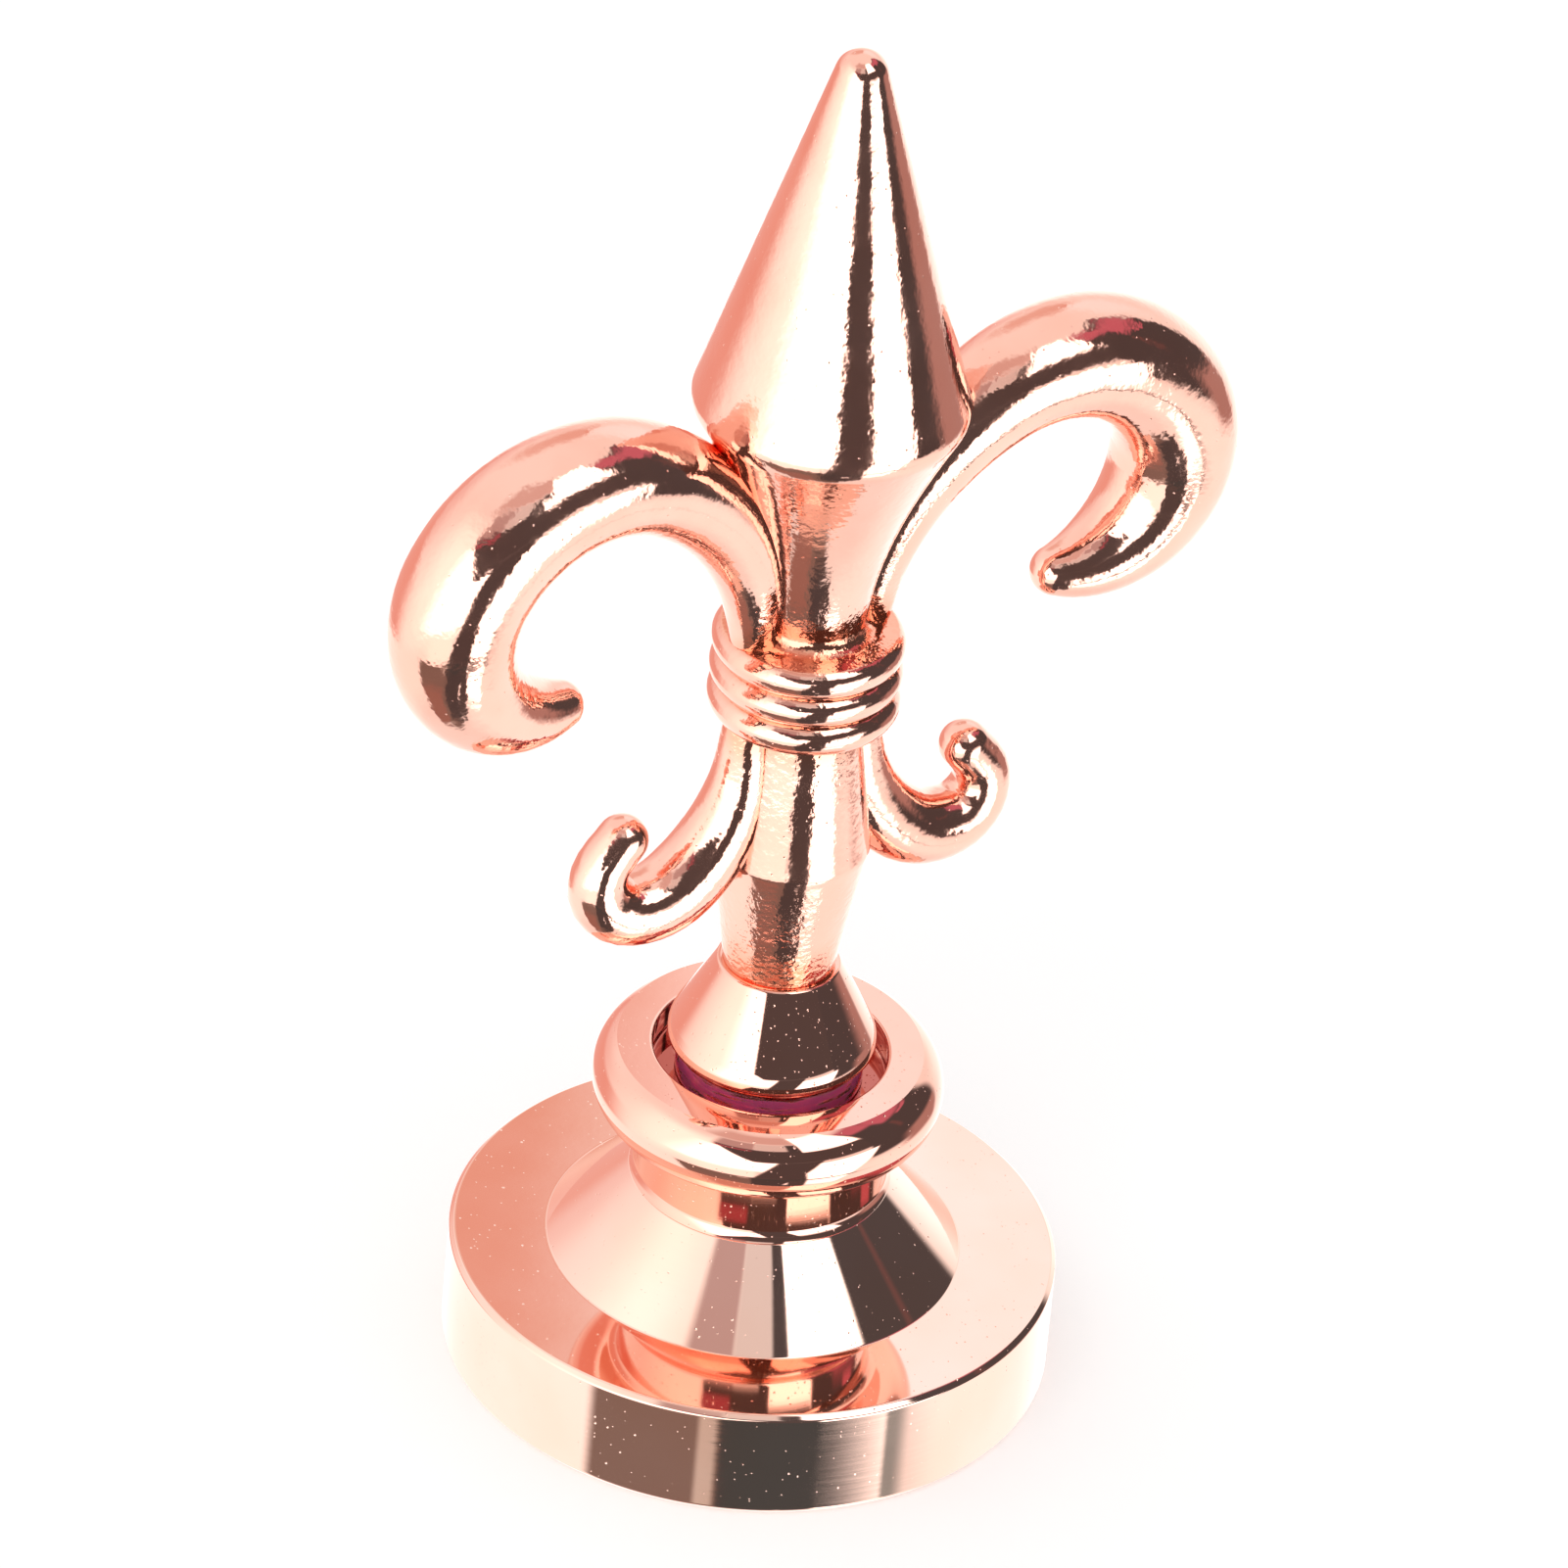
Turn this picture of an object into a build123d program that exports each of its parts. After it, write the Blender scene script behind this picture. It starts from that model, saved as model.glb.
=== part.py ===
from build123d import *
import os
from math import asin, atan, atan2, cos, hypot, pi, radians, sin

# Wax seal stamp: a turned seal head and collar screwed under a fleur-de-lis handle.
# Millimetres, +Z up along the stamp's axis, X across the fleur, the seal's face at Z = 0.

# Seal head
FACE_D = 25.0
DISC_H = 4.9
RIM_CHAMFER = 0.2
CONE_FOOT_D = 17.04
CONE_TOP_D = 10.7
HEAD_H = 8.35
LIP_ROUND = 0.1

# Sunk ornament in the face: a border ring, eight petals and a centre dot
ENGRAVE_DEPTH = 0.7
BORDER_D = 21.6
BORDER_W = 0.7
ROSETTE_PETALS = 8
ROSETTE_D = 19.0
ROSETTE_EYE_D = 5.6
ROSETTE_PETAL_W = 2.6
DOT_D = 2.8

# Screw that joins the head to the handle
THREAD_D = 6.0
THREAD_CLEARANCE = 0.05
HOLE_FLOOR = 2.4
END_GAP = 0.6
MOUTH_CHAMFER = 0.4
STUD_CHAMFER = 0.5
SHANK_D = 3.0
SHOULDER_RISE = 2.2
SHANK_IN_STEM = 5.2
SOCKET_GAP = 0.3

# Collar
NECK_D = 10.3
COLLAR_H = 6.15
RING_D = 14.38
RING_ROUND = 1.85
RING_DROP = 1.6
RECESS_D = 9.64
RECESS_DEPTH = 1.2
RECESS_CHAMFER = 0.1
BORE_CLEARANCE = 0.3
NECK_FILLET = 0.5
NECK_FLARE = 0.75

# Foot cone
FOOT_H = 5.55
FOOT_BASE_D = 7.7
FOOT_D = 8.56
FOOT_RISE = 1.7
FOOT_UNDERCUT = 0.4
FOOT_RIM_H = 0.45
FOOT_RIM_ROUND = 0.15
FOOT_SIDE_ROUND = 1.45
FOOT_TOP_D = 5.0
FOOT_TOP_ROUND = 0.15

# Stem
STEM_H = 12.25
STEM_FOOT_D = 4.56
STEM_RIDGE_D = 6.5
STEM_RIDGE_RISE = 5.85
STEM_TOP_D = 4.7
STEM_RIDGE_ROUND = 0.7

# Binding band of three beads
BEADS = 3
BEAD_PITCH = 1.333
BEAD_R = 0.75
BAND_D = 7.84
CORE_D = 3.0

# Centre petal: a flared neck under a spear
NECK_PETAL_D = 4.5
FLARE_START_RISE = 2.9
FLARE_PULL_D = 6.84
FLARE_PULL_RISE = 6.35
SPEAR_D = 11.3
SPEAR_RIM_RISE = 10.55
SPEAR_RIM_ROUND = 1.2
TIP_RISE = 26.65
TIP_R = 1.1

# Side petals and lower curls, where they meet the band
SIDE_X = 2.6
PEG_X = 2.9
PEG_D = 0.9

# Side petal: a tube along three tangent arcs, each with a radius and a turn in degrees
PETAL_RISE_R = 10.2
PETAL_RISE_TURN = 60
PETAL_BEND_R = 6.15
PETAL_BEND_TURN = 95
PETAL_HOOK_R = 4.75
PETAL_HOOK_TURN = 124
PETAL_ROOT_R = 1.05
PETAL_BELLY_R = 2.68
PETAL_TIP_R = 1.0
PETAL_BELLY_AT = 0.64
PETAL_FALL = (2.5, 1)

# Lower curl: a straight lead, three tangent arcs and a straight tip
CURL_LEAD = 1.8
CURL_DROP_R = 6.6
CURL_DROP_TURN = 52
CURL_BEND_R = 3.2
CURL_BEND_TURN = 46
CURL_HOOK_R = 1.75
CURL_HOOK_TURN = 122
CURL_TIP = 0.9
CURL_ROOT_R = 0.95
CURL_BELLY_R = 1.63
CURL_TIP_R = 1.06
CURL_BELLY_AT = 0.54
CURL_FALL = (2, 2)

# How finely a route is walked and lofted, and how near an edge has to lie to be found
RUN_STEPS = 120
TUBE_SECTIONS = 24
FIND_WITHIN = 0.001

# Heights worked out from the pieces below
STUD_R = THREAD_D / 2
COLLAR_TOP = HEAD_H + COLLAR_H
FOOT_Z = COLLAR_TOP - RECESS_DEPTH
STEM_Z = FOOT_Z + FOOT_H
SHOULDER_Z = FOOT_Z + SHOULDER_RISE
BAND_Z = STEM_Z + STEM_H
BAND_H = BEADS * BEAD_PITCH
BAND_MID = BAND_Z + BAND_H / 2
BAND_TOP = BAND_Z + BAND_H


def turned(*edges):
    """A solid of revolution about Z from a closed run of edges drawn in X and Z."""
    return revolve(make_face(Wire(list(edges))), Axis.Z)


def turned_points(*points):
    """A solid of revolution from straight runs between points given as radius and height."""
    corners = [(r, 0, z) for r, z in points]
    return revolve(make_face(Polyline(*corners, close=True)), Axis.Z)


def edges_at(solid, radius, height):
    """The circular edges of a turned solid with one radius at one height."""
    rings = solid.edges().filter_by(GeomType.CIRCLE)
    level = rings.filter_by_position(Axis.Z, height - FIND_WITHIN, height + FIND_WITHIN)
    return [edge for edge in level if abs(edge.radius - radius) < FIND_WITHIN]


def post(diameter, low, high, x=0):
    """An upright round bar or hole between two heights."""
    return Pos(x, 0, low) * Cylinder(diameter / 2, high - low, align=(Align.CENTER, Align.CENTER, Align.MIN))


def seal_head():
    """Disc, cone and rounded lip, with a blind threaded hole and the sunk ornament."""
    rim = FACE_D / 2
    step = RIM_CHAMFER
    body = turned_points(
        (0, 0), (rim - step, 0), (rim, step), (rim, DISC_H - step), (rim - step, DISC_H),
        (CONE_FOOT_D / 2, DISC_H), (CONE_TOP_D / 2, HEAD_H), (0, HEAD_H),
    )
    body = fillet(edges_at(body, CONE_TOP_D / 2, HEAD_H), LIP_ROUND)
    hole_d = THREAD_D + 2 * THREAD_CLEARANCE
    body -= post(hole_d, HOLE_FLOOR, HEAD_H)
    body = chamfer(edges_at(body, hole_d / 2, HEAD_H), MOUTH_CHAMFER)
    body -= post(BORDER_D, 0, ENGRAVE_DEPTH) - post(BORDER_D - 2 * BORDER_W, 0, ENGRAVE_DEPTH)
    body -= post(DOT_D, 0, ENGRAVE_DEPTH)
    petal_l = (ROSETTE_D - ROSETTE_EYE_D) / 2
    petal_mid = (ROSETTE_D + ROSETTE_EYE_D) / 4
    petal = extrude(Ellipse(petal_l / 2, ROSETTE_PETAL_W / 2), ENGRAVE_DEPTH)
    for place in PolarLocations(petal_mid, ROSETTE_PETALS):
        body -= place * petal
    return body


def collar():
    """Flared neck and bulged ring in one, with a recess on top for the handle's foot."""
    mid_r = RING_D / 2 - RING_ROUND
    mid_z = COLLAR_TOP - RING_DROP
    top_r = mid_r + (RING_ROUND ** 2 - RING_DROP ** 2) ** 0.5
    bore_r = STUD_R + BORE_CLEARANCE
    neck_r = NECK_D / 2
    recess_r = RECESS_D / 2
    under_z = mid_z - (RING_ROUND ** 2 - (mid_r - neck_r) ** 2) ** 0.5
    slope = atan((CONE_FOOT_D - CONE_TOP_D) / 2 / (HEAD_H - DISC_H))
    flare_z = HEAD_H + NECK_FLARE * sin(slope)
    flare_r = neck_r + NECK_FLARE * (1 - cos(slope))
    ring = ThreePointArc((top_r, 0, COLLAR_TOP), (mid_r + RING_ROUND, 0, mid_z), (neck_r, 0, under_z))
    neck = Line((neck_r, 0, under_z), (neck_r, 0, flare_z))
    flare = Plane.XZ * CenterArc((neck_r + NECK_FLARE, flare_z), NECK_FLARE, 180, slope * 180 / pi)
    inside = Polyline(
        (flare_r, 0, HEAD_H), (bore_r, 0, HEAD_H), (bore_r, 0, FOOT_Z), (recess_r, 0, FOOT_Z),
        (recess_r, 0, COLLAR_TOP), (top_r, 0, COLLAR_TOP),
    )
    body = turned(ring, neck, *flare.edges(), *inside.edges())
    body = fillet(edges_at(body, neck_r, under_z), NECK_FILLET)
    return chamfer(edges_at(body, recess_r, COLLAR_TOP), RECESS_CHAMFER)


def foot_cone():
    """Bell that stands in the collar's recess and carries the stem."""
    top_z = FOOT_Z + FOOT_H
    rim_z = FOOT_Z + FOOT_RISE
    side_z = rim_z + FOOT_RIM_H
    body = turned_points(
        (0, FOOT_Z), (FOOT_BASE_D / 2, FOOT_Z), (FOOT_BASE_D / 2, rim_z - FOOT_UNDERCUT),
        (FOOT_D / 2, rim_z), (FOOT_D / 2, side_z), (FOOT_TOP_D / 2, top_z), (0, top_z),
    )
    body = fillet(edges_at(body, FOOT_D / 2, side_z), FOOT_SIDE_ROUND)
    body = fillet(edges_at(body, FOOT_D / 2, rim_z), FOOT_RIM_ROUND)
    body = fillet(edges_at(body, FOOT_TOP_D / 2, top_z), FOOT_TOP_ROUND)
    body -= post(THREAD_D, FOOT_Z, SHOULDER_Z)
    return body - post(SHANK_D, SHOULDER_Z, top_z)


def threaded_stud():
    """Shouldered steel stud: thread below, plain shank set in the stem."""
    low = HOLE_FLOOR + END_GAP
    thread = post(THREAD_D, low, SHOULDER_Z)
    thread = chamfer(edges_at(thread, STUD_R, low), STUD_CHAMFER)
    return thread + post(SHANK_D, SHOULDER_Z, STEM_Z + SHANK_IN_STEM)


def stem():
    """Cast baluster between the foot and the band, with a core that runs into the band."""
    ridge_z = STEM_Z + STEM_RIDGE_RISE
    body = turned_points(
        (0, STEM_Z), (STEM_FOOT_D / 2, STEM_Z), (STEM_RIDGE_D / 2, ridge_z),
        (STEM_TOP_D / 2, BAND_Z), (CORE_D / 2, BAND_Z), (CORE_D / 2, BAND_MID), (0, BAND_MID),
    )
    body = fillet(edges_at(body, STEM_RIDGE_D / 2, ridge_z), STEM_RIDGE_ROUND)
    return body - post(SHANK_D, STEM_Z, STEM_Z + SHANK_IN_STEM + SOCKET_GAP)


def binding_band():
    """Ring of three beads, bored for the core and for the pegs on both sides."""
    bead_mid_r = BAND_D / 2 - BEAD_R
    valley_r = bead_mid_r + (BEAD_R ** 2 - (BEAD_PITCH / 2) ** 2) ** 0.5
    edges = []
    for bead in range(BEADS):
        low = BAND_Z + bead * BEAD_PITCH
        crest = (BAND_D / 2, 0, low + BEAD_PITCH / 2)
        edges.append(ThreePointArc((valley_r, 0, low), crest, (valley_r, 0, low + BEAD_PITCH)))
    inside = Polyline((valley_r, 0, BAND_TOP), (0, 0, BAND_TOP), (0, 0, BAND_Z), (valley_r, 0, BAND_Z))
    body = turned(*edges, *inside.edges())
    body -= post(CORE_D, BAND_Z, BAND_TOP)
    for side in (-1, 1):
        body -= post(PEG_D, BAND_Z, BAND_TOP, side * PEG_X)
    return body


def centre_petal():
    """Spear with a rounded rim and tip over a flared neck, with a core that runs into the band."""
    rim_r = SPEAR_D / 2
    rim_z = BAND_TOP + SPEAR_RIM_RISE
    tip_z = BAND_TOP + TIP_RISE
    drop = tip_z - TIP_R - rim_z
    half_angle = atan2(rim_r, drop) - asin(TIP_R / hypot(rim_r, drop))
    tip_r = TIP_R * cos(half_angle)
    tip_side = (tip_r, 0, tip_z - TIP_R + TIP_R * sin(half_angle))
    tip_mid = (TIP_R * sin(pi / 4), 0, tip_z - TIP_R + TIP_R * cos(pi / 4))
    neck_r = NECK_PETAL_D / 2
    flare = Bezier(
        (neck_r, 0, BAND_TOP), (neck_r, 0, BAND_TOP + FLARE_START_RISE),
        (FLARE_PULL_D / 2, 0, BAND_TOP + FLARE_PULL_RISE), (rim_r, 0, rim_z),
    )
    body = turned(
        flare,
        Line((rim_r, 0, rim_z), tip_side),
        ThreePointArc(tip_side, tip_mid, (0, 0, tip_z)),
        Line((0, 0, tip_z), (0, 0, BAND_TOP)),
        Line((0, 0, BAND_TOP), (neck_r, 0, BAND_TOP)),
    )
    body = fillet(edges_at(body, rim_r, rim_z), SPEAR_RIM_ROUND)
    return body + post(CORE_D, BAND_MID, BAND_TOP)


def route(start, heading, runs, turn):
    """Points, headings and lengths along a route: arcs of a radius and a turn, straights with no turn."""
    spots = []
    x, z = start
    angle = radians(heading)
    length = 0
    for size, sweep in runs:
        run = size * radians(sweep) if sweep else size
        step = run / RUN_STEPS
        bend = turn * radians(sweep) / RUN_STEPS
        for _ in range(RUN_STEPS):
            spots.append((x, z, angle, length))
            x += cos(angle + bend / 2) * step
            z += sin(angle + bend / 2) * step
            angle += bend
            length += step
    spots.append((x, z, angle, length))
    return spots


def tube_radius(share, root, belly, tip, belly_at, fall):
    """Radius at a share of the length: swells to the belly, then falls to the tip."""
    if share < belly_at:
        return root + (belly - root) * sin(pi / 2 * share / belly_at)
    past = (share - belly_at) / (1 - belly_at)
    return tip + (belly - tip) * (1 - past ** fall[0]) ** fall[1]


def tapered_tube(spots, *sizes):
    """A tube of changing radius along a route, with a ball on its end that meets it smoothly."""
    total = spots[-1][3]
    rings = []
    for section in range(TUBE_SECTIONS + 1):
        wanted = total * section / TUBE_SECTIONS
        x, z, angle, length = min(spots, key=lambda spot: abs(spot[3] - wanted))
        plane = Plane(origin=(x, 0, z), x_dir=(0, 1, 0), z_dir=(cos(angle), 0, sin(angle)))
        rings.append(plane * Circle(tube_radius(length / total, *sizes)))
    x, z, angle, _ = spots[-1]
    end_r = tube_radius(1, *sizes)
    near_end = 0.999
    slope = atan((tube_radius(near_end, *sizes) - end_r) / ((1 - near_end) * total))
    ball_r = end_r / cos(slope)
    back = ball_r * sin(slope)
    ball = Pos(x - back * cos(angle), 0, z - back * sin(angle)) * Sphere(ball_r)
    return loft(rings) + ball


def side_petal(centre):
    """Right-hand side petal: rises from the band, bends over and curls in at its tip."""
    runs = [
        (PETAL_RISE_R, PETAL_RISE_TURN), (PETAL_BEND_R, PETAL_BEND_TURN), (PETAL_HOOK_R, PETAL_HOOK_TURN),
    ]
    spots = route((SIDE_X, BAND_TOP), 90, runs, -1)
    tube = tapered_tube(spots, PETAL_ROOT_R, PETAL_BELLY_R, PETAL_TIP_R, PETAL_BELLY_AT, PETAL_FALL)
    return tube - centre + post(PEG_D, BAND_MID, BAND_TOP, PEG_X)


def lower_curl(middle):
    """Right-hand lower curl: drops from the band beside the stem and hooks up at its tip."""
    runs = [
        (CURL_LEAD, 0), (CURL_DROP_R, CURL_DROP_TURN), (CURL_BEND_R, CURL_BEND_TURN),
        (CURL_HOOK_R, CURL_HOOK_TURN), (CURL_TIP, 0),
    ]
    spots = route((SIDE_X, BAND_Z), -90, runs, 1)
    tube = tapered_tube(spots, CURL_ROOT_R, CURL_BELLY_R, CURL_TIP_R, CURL_BELLY_AT, CURL_FALL)
    return tube - middle + post(PEG_D, BAND_Z, BAND_MID, PEG_X)


stem_solid = stem()
centre_solid = centre_petal()
petal_solid = side_petal(centre_solid)
curl_solid = lower_curl(stem_solid)
pieces = {
    "seal_head": seal_head(),
    "collar": collar(),
    "foot_cone": foot_cone(),
    "threaded_stud": threaded_stud(),
    "stem": stem_solid,
    "binding_band": binding_band(),
    "centre_petal": centre_solid,
    "petal_right": petal_solid,
    "petal_left": mirror(petal_solid, Plane.YZ),
    "curl_right": curl_solid,
    "curl_left": mirror(curl_solid, Plane.YZ),
}
os.makedirs("parts", exist_ok=True)
for name, solid in pieces.items():
    export_step(solid, f"parts/{name}.step")
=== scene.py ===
import math
import bmesh
import bpy
from mathutils import Matrix, Vector


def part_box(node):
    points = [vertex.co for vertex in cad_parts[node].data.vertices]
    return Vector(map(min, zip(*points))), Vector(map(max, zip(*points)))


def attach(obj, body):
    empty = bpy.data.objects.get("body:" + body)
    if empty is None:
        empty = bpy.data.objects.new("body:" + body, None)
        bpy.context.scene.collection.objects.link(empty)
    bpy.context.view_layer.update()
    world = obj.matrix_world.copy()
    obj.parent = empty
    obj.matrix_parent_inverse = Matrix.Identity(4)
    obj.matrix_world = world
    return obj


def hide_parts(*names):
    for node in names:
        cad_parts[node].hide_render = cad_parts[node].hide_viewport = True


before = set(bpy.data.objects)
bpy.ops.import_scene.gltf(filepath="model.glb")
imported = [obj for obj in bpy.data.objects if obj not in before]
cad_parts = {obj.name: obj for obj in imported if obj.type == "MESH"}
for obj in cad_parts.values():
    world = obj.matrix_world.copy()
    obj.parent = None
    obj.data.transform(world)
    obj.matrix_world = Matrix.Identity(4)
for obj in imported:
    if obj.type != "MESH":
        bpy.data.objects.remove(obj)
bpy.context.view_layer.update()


# Seal head: a brass disc with a conical neck, turned in one piece, polished and plated champagne rose.
# The sealing face underneath is engraved with a rosette in a ring, and a blind hole takes the stud's screw.
mm = 0.001
face_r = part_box("seal_head")[1].x
head_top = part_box("seal_head")[1].z
disc_top = 4.9 * mm
rim_break = 0.2 * mm
rim_round = 0.12 * mm
cone_foot_r = 8.52 * mm
cone_foot_round = 0.12 * mm
lip_r = 5.35 * mm
lip_round = 0.1 * mm
hole_r = 3.05 * mm
hole_mouth = 0.4 * mm
hole_floor = 2.4 * mm
turned_steps = 192
weld = 1e-7
champagne_rose = (0.97, 0.65, 0.54, 1)
champagne_deep = (0.95, 0.61, 0.49, 1)
head_dented = 0.14
tone_grain = 160
dent_grain = 3000
fine_dent_grain = 5200
dent_width = 0.18
dent_depth = 0.014 * mm
dent_dulling = 0.2
haze_grain = 500
haze_range = (0.035, 0.05)
turning_stretch = (0.04, 0.04, 1)
turning_grain = 4200
turning_depth = 0.0009 * mm
polish_grain = 3000
polish_depth = 0.00015 * mm
mid_noise = (0.3, 0.7)


def rounded_outline(corners, closed=False):
    """Points along a half outline, from corners given as radius, height and the radius of their rounding."""
    holding = 0.03 * mm
    arc_step = math.radians(7)
    spots = [Vector((r, 0, z)) for r, z, _ in corners]
    points = []
    for place, (_, _, rounding) in enumerate(corners):
        corner = spots[place]
        if rounding == 0:
            points.append(corner)
            continue
        back = (spots[place - 1] - corner).normalized()
        ahead = (spots[(place + 1) % len(spots)] - corner).normalized()
        half = back.angle(ahead) / 2
        reach = rounding / math.tan(half)
        centre = corner + (back + ahead).normalized() * rounding / math.sin(half)
        first = (corner + back * reach - centre).normalized()
        last = (corner + ahead * reach - centre).normalized()
        steps = max(3, round((math.pi - 2 * half) / arc_step))
        points.append(corner + back * (reach + holding))
        for step in range(steps + 1):
            points.append(centre + first.slerp(last, step / steps) * rounding)
        points.append(corner + ahead * (reach + holding))
    return points + points[:1] if closed else points


def draw_outline(name, points):
    """A new piece in edit mode, with an outline drawn from its first point to its last."""
    bpy.ops.object.select_all(action="DESELECT")
    bpy.ops.mesh.primitive_plane_add(size=mm, location=(0, 0, 0))
    piece = bpy.context.object
    piece.name = name
    bpy.ops.object.mode_set(mode="EDIT")
    bpy.ops.mesh.select_mode(type="VERT")
    bpy.ops.mesh.select_all(action="SELECT")
    bpy.ops.mesh.merge(type="CENTER")
    bpy.ops.transform.translate(value=points[0])
    for here, there in zip(points, points[1:]):
        bpy.ops.mesh.extrude_vertices_move(TRANSFORM_OT_translate={"value": there - here})
    return piece


def lathe(name, points, steps=turned_steps):
    """A turned piece: its half outline is drawn and spun about the stamp's axis."""
    piece = draw_outline(name, points)
    bpy.ops.mesh.select_all(action="SELECT")
    bpy.ops.mesh.remove_doubles(threshold=weld)
    bpy.ops.mesh.spin(steps=steps, angle=math.tau, center=(0, 0, 0), axis=(0, 0, 1))
    bpy.ops.mesh.select_all(action="SELECT")
    bpy.ops.mesh.remove_doubles(threshold=weld)
    bpy.ops.mesh.normals_make_consistent(inside=False)
    bpy.ops.object.mode_set(mode="OBJECT")
    return piece


def select_edges(piece, wanted):
    """In edit mode, selects just the edges that a test wants."""
    mesh = bmesh.from_edit_mesh(piece.data)
    bpy.ops.mesh.select_mode(type="EDGE")
    bpy.ops.mesh.select_all(action="DESELECT")
    for edge in mesh.edges:
        edge.select_set(wanted(edge))
    mesh.select_flush_mode()
    bmesh.update_edit_mesh(piece.data)


def smooth(piece, sharpest=30):
    """Smooth shading that keeps the edges sharper than an angle in degrees."""
    bpy.ops.object.select_all(action="DESELECT")
    piece.select_set(True)
    bpy.context.view_layer.objects.active = piece
    bpy.ops.object.shade_smooth_by_angle(angle=math.radians(sharpest))


def new_material(name):
    """A metal to fill in: its node tree, its shader and the coordinates that its patterns read."""
    material = bpy.data.materials.new(name)
    material.use_nodes = True
    tree = material.node_tree
    shader = tree.nodes["Principled BSDF"]
    shader.inputs["Metallic"].default_value = 1
    return material, tree, shader, tree.nodes.new("ShaderNodeTexCoord").outputs["Object"]


def noise(tree, coords, scale, detail=2):
    """A noise pattern, as its height."""
    pattern = tree.nodes.new("ShaderNodeTexNoise")
    pattern.inputs["Scale"].default_value = scale
    pattern.inputs["Detail"].default_value = detail
    tree.links.new(coords, pattern.inputs["Vector"])
    return pattern.outputs["Fac"]


def span(tree, value, from_range, to_range):
    """A value brought from one range to another and kept inside it."""
    ramp = tree.nodes.new("ShaderNodeMapRange")
    ramp.interpolation_type = "SMOOTHSTEP"
    tree.links.new(value, ramp.inputs["Value"])
    ramp.inputs["From Min"].default_value, ramp.inputs["From Max"].default_value = from_range
    ramp.inputs["To Min"].default_value, ramp.inputs["To Max"].default_value = to_range
    return ramp.outputs["Result"]


def combine(tree, operation, first, second):
    """Two values put together; the second may be a plain number."""
    sum_node = tree.nodes.new("ShaderNodeMath")
    sum_node.operation = operation
    tree.links.new(first, sum_node.inputs[0])
    if isinstance(second, (int, float)):
        sum_node.inputs[1].default_value = second
    else:
        tree.links.new(second, sum_node.inputs[1])
    return sum_node.outputs["Value"]


def two_tone(tree, coords, shader, light, deep, scale):
    """Plating whose tone drifts between two close colours."""
    blend = tree.nodes.new("ShaderNodeMix")
    blend.data_type = "RGBA"
    blend.inputs["A"].default_value = light
    blend.inputs["B"].default_value = deep
    drift = span(tree, noise(tree, coords, scale, 3), (0.35, 0.7), (0, 1))
    tree.links.new(drift, blend.inputs["Factor"])
    tree.links.new(blend.outputs["Result"], shader.inputs["Base Color"])


def pits(tree, coords, scale, width, share):
    """Small dents scattered over the surface: 1 in a dent's middle, 0 outside."""
    cells = tree.nodes.new("ShaderNodeTexVoronoi")
    cells.inputs["Scale"].default_value = scale
    tree.links.new(coords, cells.inputs["Vector"])
    dent = span(tree, cells.outputs["Distance"], (0, width), (1, 0))
    pick = tree.nodes.new("ShaderNodeSeparateColor")
    tree.links.new(cells.outputs["Color"], pick.inputs["Color"])
    kept = combine(tree, "LESS_THAN", pick.outputs["Red"], share)
    return combine(tree, "MULTIPLY", dent, kept)


def bump(tree, height, depth, under=None):
    """Relief from a height pattern, over the relief that is there already."""
    relief = tree.nodes.new("ShaderNodeBump")
    relief.inputs["Distance"].default_value = depth
    tree.links.new(height, relief.inputs["Height"])
    if under:
        tree.links.new(under, relief.inputs["Normal"])
    return relief.outputs["Normal"]


def axis_place(tree, coords):
    """Distance from the stamp's axis, and height."""
    flat = tree.nodes.new("ShaderNodeVectorMath")
    flat.operation = "MULTIPLY"
    flat.inputs[1].default_value = (1, 1, 0)
    tree.links.new(coords, flat.inputs[0])
    from_axis = tree.nodes.new("ShaderNodeVectorMath")
    from_axis.operation = "LENGTH"
    tree.links.new(flat.outputs["Vector"], from_axis.inputs[0])
    parts = tree.nodes.new("ShaderNodeSeparateXYZ")
    tree.links.new(coords, parts.inputs["Vector"])
    return from_axis.outputs["Value"], parts.outputs["Z"]


def turned_plating(name, light, deep, dented):
    """Polished plating on a turned piece: a near mirror with faint turning lines and a share of dents."""
    material, tree, shader, coords = new_material(name)
    two_tone(tree, coords, shader, light, deep, tone_grain)
    coarse = pits(tree, coords, dent_grain, dent_width, dented)
    fine = pits(tree, coords, fine_dent_grain, dent_width, dented)
    dents = combine(tree, "MAXIMUM", coarse, fine)
    haze = span(tree, noise(tree, coords, haze_grain, 4), mid_noise, haze_range)
    wear_and_shade_patches = combine(tree, "MULTIPLY", dents, dent_dulling)
    tree.links.new(combine(tree, "ADD", haze, wear_and_shade_patches), shader.inputs["Roughness"])
    along_wall = tree.nodes.new("ShaderNodeVectorMath")
    along_wall.operation = "MULTIPLY"
    along_wall.inputs[1].default_value = turning_stretch
    tree.links.new(coords, along_wall.inputs[0])
    relief = bump(tree, noise(tree, along_wall.outputs["Vector"], turning_grain), turning_depth)
    relief = bump(tree, noise(tree, coords, polish_grain), polish_depth, relief)
    relief = bump(tree, dents, -dent_depth, relief)
    tree.links.new(relief, shader.inputs["Normal"])
    return material


head = lathe("sealing_head", rounded_outline([
    (face_r - rim_break, 0, 0),
    (face_r, rim_break, rim_round),
    (face_r, disc_top - rim_break, rim_round),
    (face_r - rim_break, disc_top, rim_round),
    (cone_foot_r, disc_top, cone_foot_round),
    (lip_r, head_top, lip_round),
    (hole_r + hole_mouth, head_top, 0),
    (hole_r, head_top - hole_mouth, 0),
    (hole_r, hole_floor, 0),
    (0, hole_floor, 0),
]))

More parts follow.
